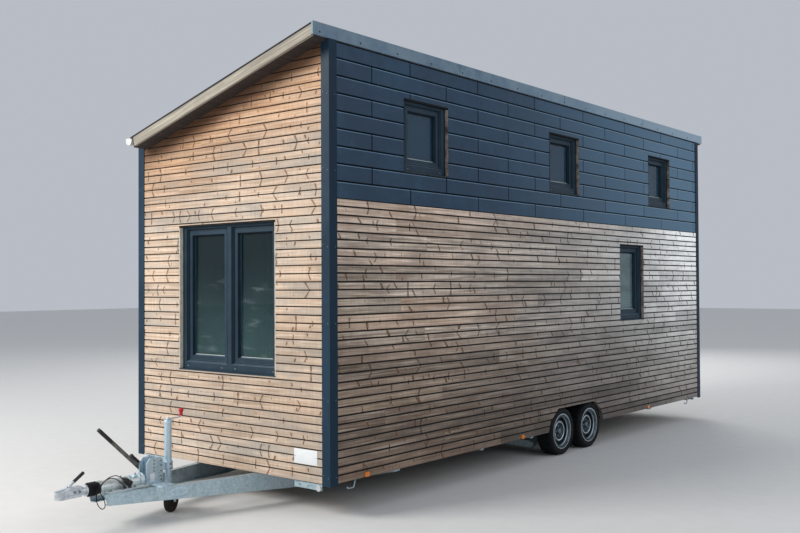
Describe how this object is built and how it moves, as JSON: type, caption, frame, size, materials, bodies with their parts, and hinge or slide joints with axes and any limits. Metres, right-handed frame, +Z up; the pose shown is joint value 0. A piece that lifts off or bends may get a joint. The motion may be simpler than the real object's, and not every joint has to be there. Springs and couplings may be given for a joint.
{
  "type": "tiny house on a twin-axle trailer",
  "caption": "Mobile tiny house with a mono-pitch roof, board and metal cladding, on a braked trailer with drawbar and jockey wheel.",
  "frame": {"origin": "on the ground, at the middle of the footprint of the whole part with its drawbar and roof overhangs", "axes": "+X to the right when seen from the hitch, +Y from the hitch to the rear, +Z up"},
  "size_m": [2.564, 9.414, 3.9902],
  "materials": {
    "timber_core": "plain",
    "board_cladding": "weathered matt",
    "grey_board": "weathered matt",
    "dark_sheet": "satin",
    "slate_sheet": "satin",
    "dark_frame": "satin",
    "roof_membrane": "matt",
    "pale_plastic": "satin",
    "window_glass": "polished",
    "galvanised": "galvanised",
    "zinc_casting": "zinc plated",
    "rim_steel": "galvanised",
    "tyre_rubber": "matt",
    "black_rubber": "matt",
    "black_plastic": "matt",
    "amber_lens": "gloss",
    "red_lens": "gloss",
    "red_knob": "gloss"
  },
  "bodies": {
    "house": {"floor_deck": "timber_core", "front_wall": "timber_core", "rear_wall": "timber_core", "left_wall": "timber_core", "right_wall": "timber_core", "front_cladding": "board_cladding", "rear_cladding": "board_cladding", "left_cladding": "board_cladding", "right_cladding": "board_cladding", "right_panels": "dark_sheet", "left_panels": "dark_sheet", "wheel_boxes": "galvanised", "roof_deck": "timber_core", "roof_sheet": "roof_membrane", "high_fascia": "slate_sheet", "bargeboards": "grey_board", "gutter": "pale_plastic", "corner_trims": "dark_sheet", "window_frames": "dark_frame", "window_sills": "dark_frame", "window_sashes": "dark_frame", "window_panes": "window_glass", "door_frame": "dark_frame", "entrance_door": "dark_frame", "door_pane": "window_glass", "marker_lamps": "amber_lens", "rear_lamps": "red_lens", "corner_brackets": "galvanised", "lashing_loops": "galvanised", "chassis_rails": "galvanised", "cross_members": "galvanised", "drawbar_beams": "galvanised", "axles": "galvanised", "overrun_housing": "zinc_casting", "bellows": "black_rubber", "jockey_bracket": "galvanised", "plug_holder": "black_plastic", "trailer_plug": "black_plastic", "plug_cable": "black_rubber"},
    "wheel_front_left": {"tyre_front_left": "tyre_rubber", "rim_front_left": "rim_steel"},
    "wheel_front_right": {"tyre_front_right": "tyre_rubber", "rim_front_right": "rim_steel"},
    "wheel_rear_left": {"tyre_rear_left": "tyre_rubber", "rim_rear_left": "rim_steel"},
    "wheel_rear_right": {"tyre_rear_right": "tyre_rubber", "rim_rear_right": "rim_steel"},
    "coupling": {"coupling_head": "zinc_casting"},
    "coupling_lock": {"coupling_handle": "black_plastic"},
    "handbrake": {"handbrake_lever": "black_plastic"},
    "jockey_outer": {"jockey_tube": "galvanised"},
    "jockey_inner": {"jockey_leg": "galvanised"},
    "jockey_caster": {"jockey_fork": "galvanised"},
    "jockey_roller": {"jockey_wheel": "black_rubber"},
    "jockey_winder": {"jockey_crank": "red_knob"}
  },
  "joints": [
    {"name": "wheel_spin_front_left", "type": "hinge", "parent": "house", "child": "wheel_front_left", "pos_m": [-1.1575, 0.696, 0.26], "axis": [1, 0, 0], "continuous": true},
    {"name": "wheel_spin_front_right", "type": "hinge", "parent": "house", "child": "wheel_front_right", "pos_m": [1.1575, 0.696, 0.26], "axis": [1, 0, 0], "continuous": true},
    {"name": "wheel_spin_rear_left", "type": "hinge", "parent": "house", "child": "wheel_rear_left", "pos_m": [-1.1575, 1.316, 0.26], "axis": [1, 0, 0], "continuous": true},
    {"name": "wheel_spin_rear_right", "type": "hinge", "parent": "house", "child": "wheel_rear_right", "pos_m": [1.1575, 1.316, 0.26], "axis": [1, 0, 0], "continuous": true},
    {"name": "overrun_slide", "type": "slide", "parent": "house", "child": "coupling", "axis": [0, 1, 0], "range_m": [0, 0.05], "deforming": ["bellows"]},
    {"name": "coupling_handle_lift", "type": "hinge", "parent": "coupling", "child": "coupling_lock", "pos_m": [0, -4.589, 0.374], "axis": [1, 0, 0], "range_deg": [0, 45]},
    {"name": "handbrake_pull", "type": "hinge", "parent": "house", "child": "handbrake", "pos_m": [-0.08, -3.857, 0.362], "axis": [1, 0, 0], "range_deg": [-40, 35]},
    {"name": "jockey_clamp_slide", "type": "slide", "parent": "house", "child": "jockey_outer", "axis": [0, 0, 1], "range_m": [-0.1, 0]},
    {"name": "jockey_crank_turn", "type": "hinge", "parent": "jockey_outer", "child": "jockey_winder", "pos_m": [0, -3.673, 0.78], "axis": [0, 0, 1], "range_deg": [-10850, 3650]},
    {"name": "jockey_screw_slide", "type": "slide", "parent": "jockey_outer", "child": "jockey_inner", "axis": [0, 0, 1], "range_m": [-0.12, 0.04]},
    {"name": "jockey_swivel", "type": "hinge", "parent": "jockey_inner", "child": "jockey_caster", "pos_m": [0, -3.673, 0.23], "axis": [0, 0, 1], "continuous": true},
    {"name": "jockey_wheel_spin", "type": "hinge", "parent": "jockey_caster", "child": "jockey_roller", "pos_m": [-0.02324, -3.62315, 0.1], "axis": [0.9063, 0.4226, 0], "continuous": true}
  ],
  "couplings": [
    {"joint": "jockey_crank_turn", "follows": "jockey_screw_slide", "rad_per_m": 1570.8}
  ]
}
